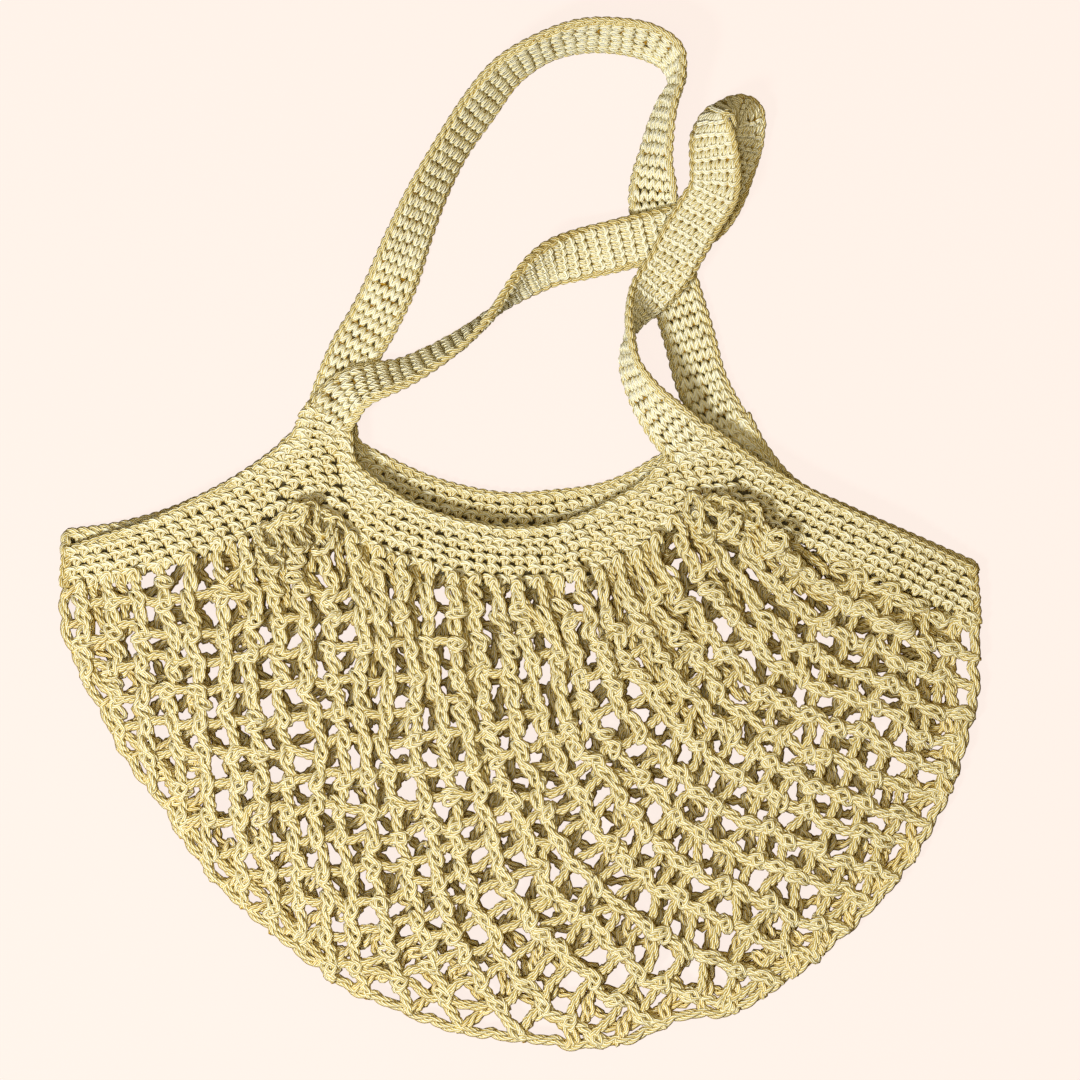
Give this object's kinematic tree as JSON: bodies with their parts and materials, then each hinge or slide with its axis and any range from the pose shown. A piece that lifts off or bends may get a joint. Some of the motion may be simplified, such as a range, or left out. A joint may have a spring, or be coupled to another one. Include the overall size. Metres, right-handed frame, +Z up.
{
  "type": "mesh market bag",
  "caption": "Crocheted cotton net bag for carrying shopping, with a solid rim band and long shoulder straps, lying flat on its back with the straps looped above it.",
  "frame": {"origin": "middle of the bag's footprint, on the surface it lies on", "axes": "+Z up from that surface, +Y from the net pouch towards the straps, +X to the right as seen from above with the straps at the top"},
  "size_m": [0.4337, 0.4828, 0.0251],
  "materials": {
    "net_yarn": "matt pale yellow plied cotton yarn, open net",
    "band_yarn": "matt pale yellow plied cotton yarn, close stitches",
    "strap_yarn_back": "matt pale yellow plied cotton yarn, close stitches",
    "strap_yarn_front": "matt pale yellow plied cotton yarn, close stitches"
  },
  "bodies": {
    "root": {"net_body": "net_yarn", "rim_band": "band_yarn", "handle_back": "strap_yarn_back", "handle_front": "strap_yarn_front"}
  },
  "joints": []
}
